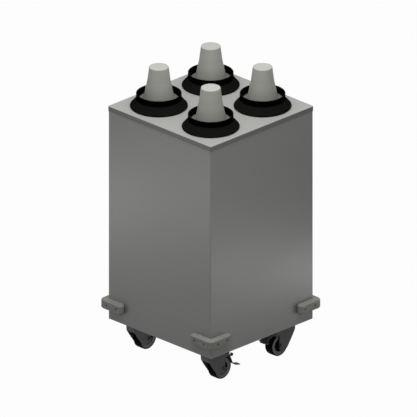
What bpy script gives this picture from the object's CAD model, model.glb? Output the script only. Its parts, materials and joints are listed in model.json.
# Finishes, turned and moulded pieces, springs, studio and camera for the mobile cup dispenser.
# Lengths are in metres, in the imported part's own frame: the floor is at z = 0 and -Y is the front.
# The grains and reliefs of the finishes are in millimetres.

import json
import math

import bmesh
import bpy
import numpy as np
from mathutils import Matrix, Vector


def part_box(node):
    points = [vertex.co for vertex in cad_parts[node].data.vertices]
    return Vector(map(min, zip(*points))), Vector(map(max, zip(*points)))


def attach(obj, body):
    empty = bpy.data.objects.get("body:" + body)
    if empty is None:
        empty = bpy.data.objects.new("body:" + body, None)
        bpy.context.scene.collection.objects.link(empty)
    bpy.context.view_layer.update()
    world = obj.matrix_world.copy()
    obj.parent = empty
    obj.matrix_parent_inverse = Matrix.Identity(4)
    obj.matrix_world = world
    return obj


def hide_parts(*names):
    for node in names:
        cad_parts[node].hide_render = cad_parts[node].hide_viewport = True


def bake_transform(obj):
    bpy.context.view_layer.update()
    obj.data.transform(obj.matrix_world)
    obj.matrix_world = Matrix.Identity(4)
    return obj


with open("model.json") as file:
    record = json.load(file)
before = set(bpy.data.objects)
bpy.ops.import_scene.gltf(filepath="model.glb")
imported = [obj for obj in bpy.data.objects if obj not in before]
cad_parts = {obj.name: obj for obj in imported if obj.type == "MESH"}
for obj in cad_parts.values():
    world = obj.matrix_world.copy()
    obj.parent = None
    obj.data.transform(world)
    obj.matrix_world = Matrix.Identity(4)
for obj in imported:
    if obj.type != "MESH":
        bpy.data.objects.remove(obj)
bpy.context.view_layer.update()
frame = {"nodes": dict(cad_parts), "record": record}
nodes = frame["nodes"]
BODY_OF = {node: body for body, names in frame["record"]["behaviour"]["bodies"].items() for node in names}

MM = 0.001
CORNERS = ("front_left", "front_right", "rear_left", "rear_right")
BRAKED = ("front_right", "rear_right")

# The photograph is a parallel view of 417 pixels a side, with this many metres to a pixel
PHOTO_SIDE = 417
METRES_A_PIXEL = 3.389 * MM
VIEW_AZIMUTH = math.radians(45)
VIEW_ELEVATION = math.radians(23.6)
VIEW_TARGET = (-5.35 * MM, -5.35 * MM, 527 * MM)
CAMERA_AWAY = 5
CAMERA_SEES_TO = 40

# Studio
WHITE = "#ffffff"
ROOM_LIGHT = 0.1
FLOOR_HALF = 9.0
FLOOR_COLOUR = "#6c6c6a"
FLOOR_WHITE_SHARE = 0.98

# Turned pieces: steps round the axis, steps in each rounded edge, and how much of a side an edge may take
TURN_STEPS = 96
EDGE_STEPS = 6
EDGE_SIDE_SHARE = 0.45

# Radius of an edge that is only just broken
FINE_R = 0.4 * MM

# Copies of CAD nodes: how near points are merged, how flat an edge is taken out, and from what angle an
# edge is rounded, in how many steps
MERGE_WITHIN = 0.001 * MM
FLAT_WITHIN = math.radians(0.5)
SHARP_FROM = math.radians(32)
SOFT_STEPS = 3
BUMPER_EDGE_R = 2.4 * MM
FORK_EDGE_R = 0.9 * MM
PLATE_EDGE_R = 0.8 * MM
LEVER_EDGE_R = 0.8 * MM
DECK_EDGE_R = 1.2 * MM

# A face of the deck is its lip, and not its level top, where its normal rises no more than this
DECK_LEVEL_FROM = 0.7

# Cups
CUP_END_R = 33.25 * MM
CUP_END_T = 3 * MM
CUP_WAIST_R = 39.5 * MM
CUP_WAIST_DROP = 50 * MM
CUP_WAIST_BEND_R = 20 * MM
CUP_WALL = 2.2 * MM
CUP_LIP_R = 0.9 * MM
CUP_EDGE_R = 2.5 * MM
CUP_INSIDE_R = 3 * MM
CUP_FOOT_W = 3.5 * MM
CUP_SLOPE_W = 1.5 * MM
CUP_DISH = 1.2 * MM
CUP_DISH_R = 1 * MM

# Heights over its mouth between which a cup's wall grows paler
CUP_DIM_FROM = 16 * MM
CUP_DIM_TO = 90 * MM

# Collars
COLLAR_WALL_R = 77.5 * MM
COLLAR_BORE_R = 73 * MM
COLLAR_HOLLOW_IN = 0.7 * MM
COLLAR_NECK_H = 29 * MM
COLLAR_NECK_R = 4 * MM
COLLAR_EDGE_H = 4.6 * MM
COLLAR_EDGE_R = 1.5 * MM
COLLAR_TUCK = 2.6 * MM
COLLAR_TUCK_R = 2 * MM
COLLAR_FOOT_R = 0.3 * MM
COLLAR_RIM_OUT_R = 1.6 * MM
COLLAR_RIM_IN_R = 1.8 * MM
COLLAR_SKIN = 4.3 * MM
COLLAR_SEAT_H = 1.5 * MM
HOLLOW_NECK_R = 2 * MM
HOLLOW_EDGE_R = 1 * MM

# Wheels
TREAD_T = 4.5 * MM
TREAD_CROWN = 0.5 * MM
TREAD_FLAT_SHARE = 1 / 3
SHOULDER_R = 3 * MM
CORE_INSET = 0.6 * MM
SIDE_RING_W = 12.5 * MM
SIDE_RING_R = 1 * MM
RING_SLOPE_SHARE = 1 / 3
WEB_T = 12 * MM
WEB_BEND_R = 1.5 * MM
HUB_R = 11 * MM
HUB_EDGE_R = 0.8 * MM
AXLE_BORE_R = 4.05 * MM

# Springs
WIRE_R = 0.6 * MM
WIRE_SIDES = 6
SPRING_R = 3.9 * MM
SPRING_TURNS = 112
SPRING_STEPS_A_TURN = 12
SPRING_AT = 78.95 * MM
SPRING_ANGLES = (90, 210, 330)
SPRING_LEG = 7 * MM

# Keeps a direction across the wire defined where the wire runs straight up
NUDGE = 1e-6


# Helpers for materials


def linear(colour):
    """Turns an sRGB hex colour to linear red, green, blue and alpha."""
    values = [int(colour[i:i + 2], 16) / 255 for i in (1, 3, 5)]
    return [v / 12.92 if v <= 0.04045 else ((v + 0.055) / 1.055) ** 2.4 for v in values] + [1.0]


def add(tree, kind, inputs=None, stops=(), **settings):
    """Adds a node. Settings are its inputs or properties by name, and stops are a ramp's, each a place and a
    hex colour. Inputs, by name or number, are joined to another node's output or set to a value."""
    node = tree.nodes.new(kind)
    for name, value in settings.items():
        socket = node.inputs.get(name.replace("_", " "))
        if socket is None:
            setattr(node, name, value)
        else:
            socket.default_value = value
    for i, (place, colour) in enumerate(stops):
        elements = node.color_ramp.elements
        element = elements[i] if i < len(elements) else elements.new(place)
        element.position = place
        element.color = linear(colour)
    for name, value in (inputs or {}).items():
        if isinstance(value, bpy.types.NodeSocket):
            tree.links.new(value, node.inputs[name])
        else:
            node.inputs[name].default_value = value
    return node


def empty_tree(owner):
    """The node tree of a material or a world, with nothing in it."""
    owner.use_nodes = True
    owner.node_tree.nodes.clear()
    return owner.node_tree


def grains(tree, size, detail=2, cells=False):
    """Noise or cells on Object coordinates, as a number from 0 to 1. The size is one grain's millimetres
    across, as one number or as three for X, Y and Z."""
    place = add(tree, "ShaderNodeTexCoord").outputs["Object"]
    scale = 1 / (np.broadcast_to(size, 3) * MM)
    scaled = {"Vector": add(tree, "ShaderNodeMapping", {"Vector": place}, Scale=scale.tolist()).outputs[0]}
    if cells:
        return add(tree, "ShaderNodeTexVoronoi", scaled, Scale=1).outputs["Color"]
    return add(tree, "ShaderNodeTexNoise", scaled, Scale=1, Detail=detail).outputs["Fac"]


def summed(tree, first, second, share):
    """Two patterns in one: (1 - share) of the first and share of the second."""
    part = add(tree, "ShaderNodeMath", {0: first, 1: 1 - share}, operation="MULTIPLY").outputs[0]
    return add(tree, "ShaderNodeMath", {0: second, 1: share, 2: part}, operation="MULTIPLY_ADD").outputs[0]


def climb(tree, coordinates, low, high):
    """A number that goes from 0 to 1 as the Z of the Object coordinates or of the Normal goes from low to
    high."""
    place = add(tree, "ShaderNodeTexCoord").outputs[coordinates]
    z = add(tree, "ShaderNodeSeparateXYZ", {"Vector": place}).outputs["Z"]
    return add(tree, "ShaderNodeMapRange", {"Value": z}, From_Min=low, From_Max=high).outputs["Result"]


def new_material(name, colour_from, colours, rough_from, rough, relief_from=None, relief=0, **shader):
    """A Principled material: a pattern picks the colour between stops, another the roughness in a range,
    and a third raises the surface by relief millimetres. What is the same all over is set on the shader."""
    made = bpy.data.materials.new(name)
    tree = empty_tree(made)
    base = add(tree, "ShaderNodeValToRGB", {"Fac": colour_from(tree)}, stops=colours)
    uneven = add(tree, "ShaderNodeMapRange", {"Value": rough_from(tree)}, To_Min=rough[0], To_Max=rough[1])
    inputs = {"Base Color": base.outputs["Color"], "Roughness": uneven.outputs["Result"]}
    if relief_from:
        bump = add(tree, "ShaderNodeBump", {"Height": relief_from(tree)}, Strength=1, Distance=relief * MM)
        inputs["Normal"] = bump.outputs["Normal"]
    surface = add(tree, "ShaderNodeBsdfPrincipled", inputs, **shader)
    add(tree, "ShaderNodeOutputMaterial", {"Surface": surface.outputs["BSDF"]})
    return made


# Materials, each named for the real finish


def brushed_stainless(sheet, colours, level=False):
    """Stainless sheet ground with a belt along the rolling direction: satin, with fine parallel scratches.
    Real scratches are 0.05 mm wide, too fine to show, so they are drawn 0.7 mm wide and 110 mm long, in bands
    of 5 mm. They run level on upright sheets, and along X on level ones, which wear has made duller. The
    photograph shows a dull even grey, so only a small part of the shine is metallic."""
    thin = 1 if level else 2
    scratch, band, cloud = [110, 110, 110], [400, 400, 400], (220, 220, 160)
    scratch[thin], band[thin] = 0.7, 5

    def scratches(tree):
        return summed(tree, grains(tree, scratch, detail=4), grains(tree, band), share=0.3)

    def clouds(tree):
        return summed(tree, grains(tree, scratch, detail=3), grains(tree, cloud, detail=3), share=0.65)

    return new_material(
        "brushed_stainless_" + sheet, scratches, list(zip((0.3, 0.5, 0.72), colours)),
        clouds, (0.6, 0.72) if level else (0.4, 0.52), scratches, 0.004,
        Metallic=0.12 if level else 0.2, Specular_IOR_Level=0.1,
    )


def galvanised():
    """Hot-dip galvanised sheet: zinc crystals about 11 mm across, each a slightly different grey."""
    def spangle(tree):
        return grains(tree, 11, cells=True)

    def bloom(tree):
        return grains(tree, 50, detail=4)

    return new_material(
        "galvanised_sheet", spangle, [(0.0, "#74777a"), (0.5, "#82868a"), (1.0, "#8f9396")],
        bloom, (0.35, 0.6), bloom, 0.01, Metallic=1,
    )


def zinc_plate():
    """Pressed steel with zinc plating, grown dark and dull in use: drawing marks of 2 mm, stains of 12 mm,
    and little metallic shine left."""
    def stains(tree):
        return summed(tree, grains(tree, (12, 12, 20), detail=5), grains(tree, 2), share=0.3)

    return new_material(
        "dull_zinc_plate", stains, [(0.25, "#5a5a5a"), (0.55, "#646464"), (0.8, "#6e6e6d")],
        stains, (0.42, 0.62), stains, 0.015, Metallic=0.2, Specular_IOR_Level=0.1,
    )


def black_abs():
    """Injection-moulded black ABS with a fine spark-eroded texture of 0.5 mm, drawn at 1.2 mm so it shows.
    Fine dust greys what faces up, and upright walls stay black."""
    def texture(tree):
        return grains(tree, 1.2, detail=3)

    def handling(tree):
        return summed(tree, texture(tree), grains(tree, (50, 50, 20), detail=3), share=0.6)

    def dust(tree):
        return summed(tree, climb(tree, "Normal", 0.1, 0.65), handling(tree), share=0.2)

    return new_material(
        "moulded_black_abs", dust, [(0.1, "#050504"), (0.9, "#171715")],
        handling, (0.5, 0.66), texture, 0.02, Specular_IOR_Level=0,
    )


def cup_polypropylene():
    """Injection-moulded pale grey polypropylene: satin, slightly milky, with faint flow marks of 6 mm along
    the wall. Light that enters the closed end fades on its way down, so the grey deepens to the mouth."""
    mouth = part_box("cup_front_left")[0].z

    def flow(tree):
        return summed(tree, grains(tree, (6, 6, 90), detail=3), grains(tree, 30), share=0.5)

    def fade(tree):
        height = climb(tree, "Object", mouth + CUP_DIM_FROM, mouth + CUP_DIM_TO)
        return summed(tree, height, flow(tree), share=0.15)

    return new_material(
        "moulded_pale_polypropylene", fade, [(0.08, "#979890"), (0.92, "#b1b2ab")],
        flow, (0.42, 0.56), flow, 0.02, Specular_IOR_Level=0.15, Subsurface_Weight=0.08,
        Subsurface_Radius=(4 * MM, 4 * MM, 3.5 * MM), Subsurface_Scale=1,
    )


def bumper_vinyl():
    """Moulded grey vinyl: matt, with scuffs of 1.5 mm that run along the cart's sides."""
    def scuffs(tree):
        return summed(tree, grains(tree, (30, 30, 1.5), detail=4), grains(tree, 12, detail=3), share=0.5)

    return new_material(
        "moulded_grey_vinyl", scuffs, [(0.25, "#959591"), (0.5, "#9b9b97"), (0.8, "#a1a19d")],
        scuffs, (0.5, 0.68), scuffs, 0.03, Specular_IOR_Level=0.05,
    )


def tread_rubber():
    """Black moulded rubber, polished dull by rolling, with a little dust in specks of 4 mm."""
    def dust(tree):
        return summed(tree, grains(tree, 4, detail=5), grains(tree, 20, detail=3), share=0.4)

    return new_material(
        "moulded_black_rubber", dust, [(0.3, "#050505"), (0.6, "#080808"), (0.85, "#100f0e")],
        dust, (0.6, 0.8), dust, 0.05, Specular_IOR_Level=0.02,
    )


def core_nylon():
    """Moulded grey nylon: satin, mottled in patches of 8 mm."""
    def mottle(tree):
        return grains(tree, 8, detail=4)

    return new_material(
        "moulded_grey_nylon", mottle, [(0.25, "#9a9a9b"), (0.75, "#a8a8a9")],
        mottle, (0.42, 0.58), mottle, 0.02, Specular_IOR_Level=0.1,
    )


def web_nylon_dirty():
    """The same nylon where a wheel is sunk: grease and floor dirt stay there and turn it nearly black."""
    def film(tree):
        return summed(tree, grains(tree, 3, detail=4), grains(tree, 15, detail=3), share=0.5)

    return new_material(
        "dirty_grey_nylon", film, [(0.3, "#0d0d0c"), (0.75, "#1b1b1a")], film, (0.6, 0.8),
        Specular_IOR_Level=0.04,
    )


def spring_wire():
    """Cold-drawn spring wire, bright, with drawing marks 1 mm wide."""
    def marks(tree):
        return grains(tree, (1, 1, 6), detail=3)

    return new_material(
        "drawn_spring_wire", marks, [(0.3, "#7c7b78"), (0.7, "#8b8a87")], marks, (0.25, 0.4), Metallic=1,
    )


# Helpers for meshes


def put_in_scene(name, data):
    """Makes an object of a mesh, a light or a camera, and links it to the scene."""
    made = bpy.data.objects.new(name, data)
    bpy.context.scene.collection.objects.link(made)
    return made


def rounded(corners, closed=False):
    """Rounds the corners of a line. Each corner is (across, along, radius). An arc of that radius replaces
    the corner: a rational quadratic curve whose middle point weighs the sine of half the corner's angle,
    which is an exact arc. It starts and ends radius / tan(half the angle) away, or at a share of the side if
    that is less."""
    points = []
    n = len(corners)
    s = np.linspace(0, 1, EDGE_STEPS + 1)[:, None]
    for i, (a, b, radius) in enumerate(corners):
        here = np.array([a, b])
        if radius == 0 or (not closed and i in (0, n - 1)):
            points.append(here[None])
            continue
        before = np.array(corners[i - 1][:2]) - here
        after = np.array(corners[(i + 1) % n][:2]) - here
        most = min(np.linalg.norm(before), np.linalg.norm(after)) * EDGE_SIDE_SHARE
        before /= np.linalg.norm(before)
        after /= np.linalg.norm(after)
        half = math.acos(np.clip(before @ after, -1, 1)) / 2
        cut = min(radius / math.tan(half), most)
        weights = (1 - s) ** 2, 2 * s * (1 - s) * math.sin(half), s ** 2
        ends = here + before * cut, here, here + after * cut
        points.append(sum(w * end for w, end in zip(weights, ends)) / sum(weights))
    return np.concatenate(points)


def round_box(node):
    """A round node's box, as the foot of its axis, its outside radius and its height."""
    low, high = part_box(node)
    return ((low.x + high.x) / 2, (low.y + high.y) / 2, low.z), (high.x - low.x) / 2, high.z - low.z


def new_piece(name, points, faces, made_of, body):
    """Makes a smooth-shaded piece of points and faces, at the origin, riding on a body if one is given."""
    mesh = bpy.data.meshes.new(name)
    mesh.from_pydata(points.tolist(), [], faces)
    mesh.update()
    mesh.shade_smooth()
    mesh.materials.append(made_of)
    piece = put_in_scene(name, mesh)
    if body:
        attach(piece, body)
    return piece


def even_normals(piece):
    """Lets the large faces set the shading at their edges, so that flat and conical stretches look true."""
    piece.modifiers.new("even_normals", "WEIGHTED_NORMAL").keep_sharp = True
    return piece


def second_finish(piece, made_of, chosen):
    """Gives a second material to the faces that chosen picks from the arrays of all their centres and
    normals."""
    faces = piece.data.polygons
    centres, normals = np.empty(3 * len(faces), np.float32), np.empty(3 * len(faces), np.float32)
    faces.foreach_get("center", centres)
    faces.foreach_get("normal", normals)
    piece.data.materials.append(made_of)
    picked = chosen(centres.reshape(-1, 3), normals.reshape(-1, 3))
    faces.foreach_set("material_index", picked.astype(np.int32))


def grid_faces(rows, columns, wrap_rows, wrap_columns):
    """Four-cornered faces of a grid of points that is stored row by row. Where it wraps, its last row or
    column is joined to its first."""
    i = np.arange(rows if wrap_rows else rows - 1)[:, None]
    j = np.arange(columns if wrap_columns else columns - 1)[None]
    here, ahead = i * columns, (i + 1) % rows * columns
    over = (j + 1) % columns
    return np.stack([here + j, ahead + j, ahead + over, here + over], axis=-1).reshape(-1, 4)


def turned(name, profile, centre, made_of, body, along_x=False):
    """A surface of revolution. At angle a, the profile's point (r, h) lies r cos a and r sin a across the
    axis and h along it. A profile that starts and ends on the axis is closed by one point at each end."""
    a = np.linspace(0, 2 * math.pi, TURN_STEPS, endpoint=False)[:, None]
    on_axis = profile[0, 0] == 0
    inner = profile[1:-1] if on_axis else profile
    across, up = np.cos(a) * inner[:, 0], np.sin(a) * inner[:, 0]
    along = np.broadcast_to(inner[:, 1], across.shape)
    grid = np.stack([along, across, up] if along_x else [across, up, along], axis=-1).reshape(-1, 3)
    faces = grid_faces(TURN_STEPS, len(inner), True, not on_axis).tolist()
    if on_axis:
        pole = np.full(TURN_STEPS, len(grid))
        here = np.arange(TURN_STEPS) * len(inner)
        after, last = np.roll(here, -1), len(inner) - 1
        grid = np.concatenate([grid, [[0, 0, profile[0, 1]], [0, 0, profile[-1, 1]]]])
        faces += np.stack([pole, after, here], axis=-1).tolist()
        faces += np.stack([here + last, after + last, pole + 1], axis=-1).tolist()
    return even_normals(new_piece(name, grid + np.array(centre), faces, made_of, body))


def softened(node, radius, made_of):
    """A copy of a CAD node with its doubled points merged, its flat faces joined and its sharp edges
    rounded."""
    copy = bmesh.new()
    copy.from_mesh(nodes[node].data)
    bmesh.ops.remove_doubles(copy, verts=copy.verts, dist=MERGE_WITHIN)
    bmesh.ops.dissolve_limit(copy, angle_limit=FLAT_WITHIN, verts=copy.verts, edges=copy.edges)
    mesh = bpy.data.meshes.new(node + "_finished")
    copy.to_mesh(mesh)
    copy.free()
    mesh.shade_smooth()
    mesh.materials.clear()
    mesh.materials.append(made_of)
    piece = put_in_scene(node + "_finished", mesh)
    bevel = piece.modifiers.new("soft_edges", "BEVEL")
    bevel.width = radius
    bevel.segments = SOFT_STEPS
    bevel.limit_method = "ANGLE"
    bevel.angle_limit = SHARP_FROM
    bevel.use_clamp_overlap = True
    even_normals(piece)
    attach(piece, BODY_OF[node])
    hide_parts(node)
    return piece


# Pieces


def cup(corner, made_of):
    """A tapered cup, mouth down. The wall goes from the mouth to a waist and on to the closed end at a
    steeper slope, and inside its foot the closed end is dished."""
    centre, mouth_r, h = round_box("cup_" + corner)
    inside_h = h - CUP_END_T
    waist_h = h - CUP_WAIST_DROP
    dish_h = h - CUP_DISH
    foot_r = CUP_END_R - CUP_FOOT_W
    profile = rounded([
        (0, inside_h, 0), (CUP_END_R - CUP_WALL, inside_h, CUP_INSIDE_R),
        (CUP_WAIST_R - CUP_WALL, waist_h, CUP_WAIST_BEND_R), (mouth_r - CUP_WALL, 0, CUP_LIP_R),
        (mouth_r, 0, CUP_LIP_R), (CUP_WAIST_R, waist_h, CUP_WAIST_BEND_R), (CUP_END_R, h, CUP_EDGE_R),
        (foot_r, h, CUP_DISH_R), (foot_r - CUP_SLOPE_W, dish_h, CUP_DISH_R), (0, dish_h, 0),
    ])
    piece = turned("cup_moulded_" + corner, profile, centre, made_of, "cup_" + corner)
    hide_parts("cup_" + corner)


def collar(corner, made_of):
    """A guide collar: an upright wall with a rounded rim that flares out through a hollow curve to a thin
    edge on the deck. Inside it is a plain bore over the well, and the flare is hollow underneath."""
    centre, base_r, h = round_box("collar_" + corner)
    under_r = base_r - COLLAR_SKIN
    hollow_r = COLLAR_WALL_R - COLLAR_HOLLOW_IN
    profile = rounded([
        (base_r - COLLAR_TUCK, 0, COLLAR_FOOT_R), (base_r, COLLAR_TUCK, COLLAR_TUCK_R),
        (base_r, COLLAR_EDGE_H, COLLAR_EDGE_R), (COLLAR_WALL_R, COLLAR_NECK_H, COLLAR_NECK_R),
        (COLLAR_WALL_R, h, COLLAR_RIM_OUT_R), (COLLAR_BORE_R, h, COLLAR_RIM_IN_R),
        (COLLAR_BORE_R, COLLAR_SEAT_H, FINE_R), (hollow_r, COLLAR_SEAT_H, FINE_R),
        (hollow_r, COLLAR_NECK_H - COLLAR_SKIN, HOLLOW_NECK_R), (under_r, COLLAR_EDGE_H, HOLLOW_EDGE_R),
        (under_r, 0, FINE_R),
    ], closed=True)
    piece = turned("collar_moulded_" + corner, profile, centre, made_of, "cabinet")
    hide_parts("collar_" + corner)


def mirrored(half_line):
    """A line of corners and its mirror image at the other side of the wheel's middle plane."""
    return half_line + [(r, -along, radius) for r, along, radius in reversed(half_line)]


def wheel(corner, rubber, nylon, web_nylon):
    """A tyre with rounded shoulders and a slightly crowned tread, moulded on a core with a rim at each side,
    a sunk web and a hub. The web and the hub are in their own, dirtier nylon."""
    low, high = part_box("tyre_" + corner)
    centre = tuple((low + high) / 2)
    r = (high.z - low.z) / 2
    half = (high.x - low.x) / 2
    inner = r - TREAD_T
    tread = rounded(mirrored([
        (inner, -half, FINE_R), (r - TREAD_CROWN, -half, SHOULDER_R), (r, -half * TREAD_FLAT_SHARE, 0),
    ]), closed=True)
    tyre = turned("tyre_moulded_" + corner, tread, centre, rubber, "wheel_" + corner, along_x=True)
    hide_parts("tyre_" + corner)
    core_low, core_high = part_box("wheel_core_" + corner)
    hub_half = (core_high.x - core_low.x) / 2
    core_half = half - CORE_INSET
    web = WEB_T / 2
    ring_in = inner - SIDE_RING_W
    body = rounded(mirrored([
        (AXLE_BORE_R, -hub_half, FINE_R), (HUB_R, -hub_half, HUB_EDGE_R), (HUB_R, -web, WEB_BEND_R),
        (ring_in - web * RING_SLOPE_SHARE, -web, WEB_BEND_R), (ring_in, -core_half, SIDE_RING_R),
        (inner, -core_half, FINE_R),
    ]), closed=True)
    core = turned("wheel_core_moulded_" + corner, body, centre, nylon, "wheel_" + corner, along_x=True)
    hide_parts("wheel_core_" + corner)
    second_finish(core, web_nylon, lambda centres, _: np.hypot(*(centres - centre)[:, 1:].T) < ring_in)


def springs(corner, made_of):
    """Three close-wound extension springs. The wire's middle line is a helix of even pitch whose radius falls
    to nothing over the first and last turn, so that each end runs on along the axis as a straight leg. The
    wire is a circle carried along that line. The coils open along the well as the carrier goes down."""
    low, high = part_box("springs_" + corner)
    x, y = round_box("collar_" + corner)[0][:2]
    turns = np.linspace(0, SPRING_TURNS, SPRING_TURNS * SPRING_STEPS_A_TURN + 1)
    ease = np.clip(np.minimum(turns, SPRING_TURNS - turns), 0, 1)
    radius = SPRING_R * ease * ease * (3 - 2 * ease)
    angle = 2 * math.pi * turns
    coil_ends = [low.z + SPRING_LEG / 2, high.z - SPRING_LEG / 2]
    height = np.interp(turns, [0, SPRING_TURNS], coil_ends)
    line = np.stack([radius * np.cos(angle), radius * np.sin(angle), height], axis=-1)
    line = np.concatenate([[[0, 0, low.z]], line, [[0, 0, high.z]]])
    ahead = np.gradient(line, axis=0)
    ahead /= np.linalg.norm(ahead, axis=1)[:, None]
    side = np.cross(ahead, [0.0, 0.0, 1.0]) + [NUDGE, 0, 0]
    side /= np.linalg.norm(side, axis=1)[:, None]
    up = np.cross(side, ahead)
    around = np.linspace(0, 2 * math.pi, WIRE_SIDES, endpoint=False)[None, :, None]
    wire = line[:, None] + WIRE_R * (np.cos(around) * side[:, None] + np.sin(around) * up[:, None])
    sides = grid_faces(len(line), WIRE_SIDES, False, True)
    cap = np.arange(WIRE_SIDES)
    caps = np.stack([cap, (len(line) - 1) * WIRE_SIDES + cap[::-1]])
    points, faces = [], []
    for i, turn in enumerate(SPRING_ANGLES):
        a = math.radians(turn)
        place = [x + SPRING_AT * math.cos(a), y + SPRING_AT * math.sin(a), 0]
        points.append((wire + place).reshape(-1, 3))
        first = i * len(line) * WIRE_SIDES
        faces += (sides + first).tolist() + (caps + first).tolist()
    piece = new_piece("springs_wound_" + corner, np.concatenate(points), faces, made_of, None)
    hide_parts("springs_" + corner)
    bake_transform(piece)


# The camera, as the photograph was taken


def photo_camera():
    """A parallel camera; the frame's width in metres is the photograph's pixels times the metres in each."""
    data = bpy.data.cameras.new("photo_camera")
    data.type = "ORTHO"
    data.ortho_scale = PHOTO_SIDE * METRES_A_PIXEL
    data.clip_end = CAMERA_SEES_TO
    level = math.cos(VIEW_ELEVATION)
    back = Vector((
        math.sin(VIEW_AZIMUTH) * level, -math.cos(VIEW_AZIMUTH) * level, math.sin(VIEW_ELEVATION),
    ))
    camera = put_in_scene("photo_camera", data)
    camera.location = Vector(VIEW_TARGET) + CAMERA_AWAY * back
    camera.rotation_mode = "QUATERNION"
    camera.rotation_quaternion = (-back).to_track_quat("-Z", "Y")
    bpy.context.scene.camera = camera


# The studio


def area_light(name, place, aim, size, power, spread=180):
    """A rectangular soft box at a place, turned towards another, that the camera doesn't see. Its light stays
    within the spread, in degrees."""
    data = bpy.data.lights.new(name, "AREA")
    data.shape = "RECTANGLE"
    data.size, data.size_y = size
    data.energy = power
    data.spread = math.radians(spread)
    light = put_in_scene(name, data)
    light.location = place
    light.rotation_mode = "QUATERNION"
    light.rotation_quaternion = (Vector(aim) - Vector(place)).to_track_quat("-Z", "Y")
    light.visible_camera = False


def in_view(tree):
    """1 for a ray that the camera sees straight, in a gloss or through a clear piece, and 0 for any other."""
    rays = add(tree, "ShaderNodeLightPath").outputs
    seen = rays["Is Camera Ray"]
    for other in ("Is Glossy Ray", "Is Transmission Ray"):
        seen = add(tree, "ShaderNodeMath", {0: seen, 1: rays[other]}, operation="MAXIMUM").outputs[0]
    return seen


def floor():
    """A wide grey floor that shows as nearly white, and keeps the soft shadow."""
    half = FLOOR_HALF
    corners = [(-half, -half, 0), (half, -half, 0), (half, half, 0), (-half, half, 0)]
    mesh = bpy.data.meshes.new("studio_floor")
    mesh.from_pydata(corners, [], [(0, 1, 2, 3)])
    made = put_in_scene("studio_floor", mesh)
    paper = bpy.data.materials.new("white_backdrop_paper")
    tree = empty_tree(paper)
    share = add(tree, "ShaderNodeMath", {0: in_view(tree), 1: FLOOR_WHITE_SHARE}, operation="MULTIPLY")
    plain = add(tree, "ShaderNodeBsdfDiffuse", Color=linear(FLOOR_COLOUR))
    white = add(tree, "ShaderNodeEmission", Color=linear(WHITE), Strength=1)
    mixed = add(tree, "ShaderNodeMixShader", {0: share.outputs[0], 1: plain.outputs[0], 2: white.outputs[0]})
    add(tree, "ShaderNodeOutputMaterial", {"Surface": mixed.outputs[0]})
    mesh.materials.append(paper)


def studio_world():
    """An even grey room round the set, which shows as white."""
    world = bpy.data.worlds.new("studio_room")
    bpy.context.scene.world = world
    tree = empty_tree(world)
    air = add(tree, "ShaderNodeBackground", Color=linear(WHITE), Strength=ROOM_LIGHT)
    white = add(tree, "ShaderNodeBackground", Color=linear(WHITE), Strength=1)
    mixed = add(tree, "ShaderNodeMixShader", {0: in_view(tree), 1: air.outputs[0], 2: white.outputs[0]})
    add(tree, "ShaderNodeOutputWorld", {"Surface": mixed.outputs[0]})


photo_camera()
floor()
studio_world()

# Three large boxes light the set. Two low strips draw the bright bands on the walls, and a small light
# reaches under the cabinet's front.
area_light("overhead_box", place=(0.3, -0.3, 2.7), aim=(0, 0, 0), size=(2.6, 2.6), power=52)
area_light("front_box", place=(1.5, -1.5, 2.1), aim=(0.1, -0.1, 0.15), size=(1.6, 1.2), power=8.6)
area_light("rear_box", place=(-2.3, 2.3, 2.3), aim=(0, 0, 1.1), size=(4.6, 3.2), power=16)
area_light(
    "left_strip", place=(-0.58, -0.9, 0.26), aim=(0.02, -0.245, 0.66), size=(1.2, 0.14), power=0.85,
    spread=120,
)
area_light(
    "right_strip", place=(0.67, 0.37, 0.13), aim=(0.245, -0.05, 0.4), size=(1.1, 0.1), power=0.27,
    spread=80,
)
area_light(
    "under_light", place=(0.06, -0.16, 0.035), aim=(-0.2, -0.19, 0.07), size=(0.2, 0.05), power=0.04,
)

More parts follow.
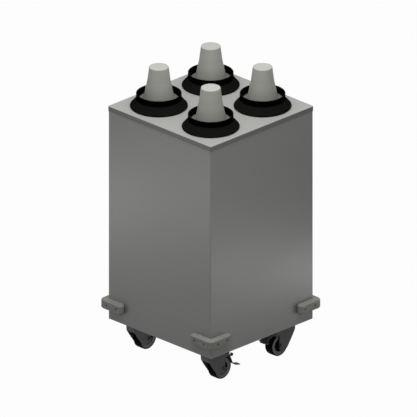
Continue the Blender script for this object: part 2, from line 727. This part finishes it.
sheet_walls = brushed_stainless("walls", ("#8a8a88", "#8d8d8b", "#90908e"))
sheet_deck = brushed_stainless("deck", ("#a0a09d", "#a4a4a1", "#a8a8a5"), level=True)
sheet_lip = brushed_stainless("lip", ("#6e6e6b", "#71716e", "#747471"))
sheet_carrier = brushed_stainless("carrier", ("#70706d", "#747471", "#787875"), level=True)
zinc = zinc_plate()
zinc_sheet = galvanised()
abs_black = black_abs()
cup_pale = cup_polypropylene()
vinyl = bumper_vinyl()
rubber = tread_rubber()
nylon = core_nylon()
web_nylon = web_nylon_dirty()
wire_steel = spring_wire()

FINISHES = {
    "wrapper": sheet_walls, "rear_panel": sheet_walls, "top_deck": sheet_deck, "base_pan": zinc_sheet,
    "caster_channels": zinc_sheet, "corner_posts": zinc_sheet, "locating_shelf": zinc_sheet,
    "rear_panel_screws": zinc, "flange_screws": zinc, "bumper_screws": zinc, "caster_bolts": zinc,
    "kingpins": zinc, "swivel_balls": wire_steel, "tube": sheet_walls, "collar": abs_black,
    "carrier": sheet_carrier, "springs": wire_steel, "cup": cup_pale, "bumper": vinyl,
    "caster_plate": zinc, "fork": zinc, "tyre": rubber, "wheel_core": nylon, "fork_bolts": zinc,
    "brake_lever": zinc,
}


def kind_of(node):
    """A node's name without its corner."""
    for corner in CORNERS:
        if node.endswith("_" + corner):
            return node[:-len(corner) - 1]
    return node


for name, node in nodes.items():
    node.data.materials.clear()
    node.data.materials.append(FINISHES[kind_of(name)])

for corner in CORNERS:
    cup(corner, cup_pale)
    collar(corner, abs_black)
    wheel(corner, rubber, nylon, web_nylon)
    springs(corner, wire_steel)
    softened("bumper_" + corner, BUMPER_EDGE_R, vinyl)
    softened("fork_" + corner, FORK_EDGE_R, zinc)
    softened("caster_plate_" + corner, PLATE_EDGE_R, zinc)
    if corner in BRAKED:
        softened("brake_lever_" + corner, LEVER_EDGE_R, zinc)

deck = softened("top_deck", DECK_EDGE_R, sheet_deck)
second_finish(deck, sheet_lip, lambda _, normals: normals[:, 2] <= DECK_LEVEL_FROM)

bpy.context.scene.view_settings.view_transform = "Standard"

bpy.context.view_layer.update()
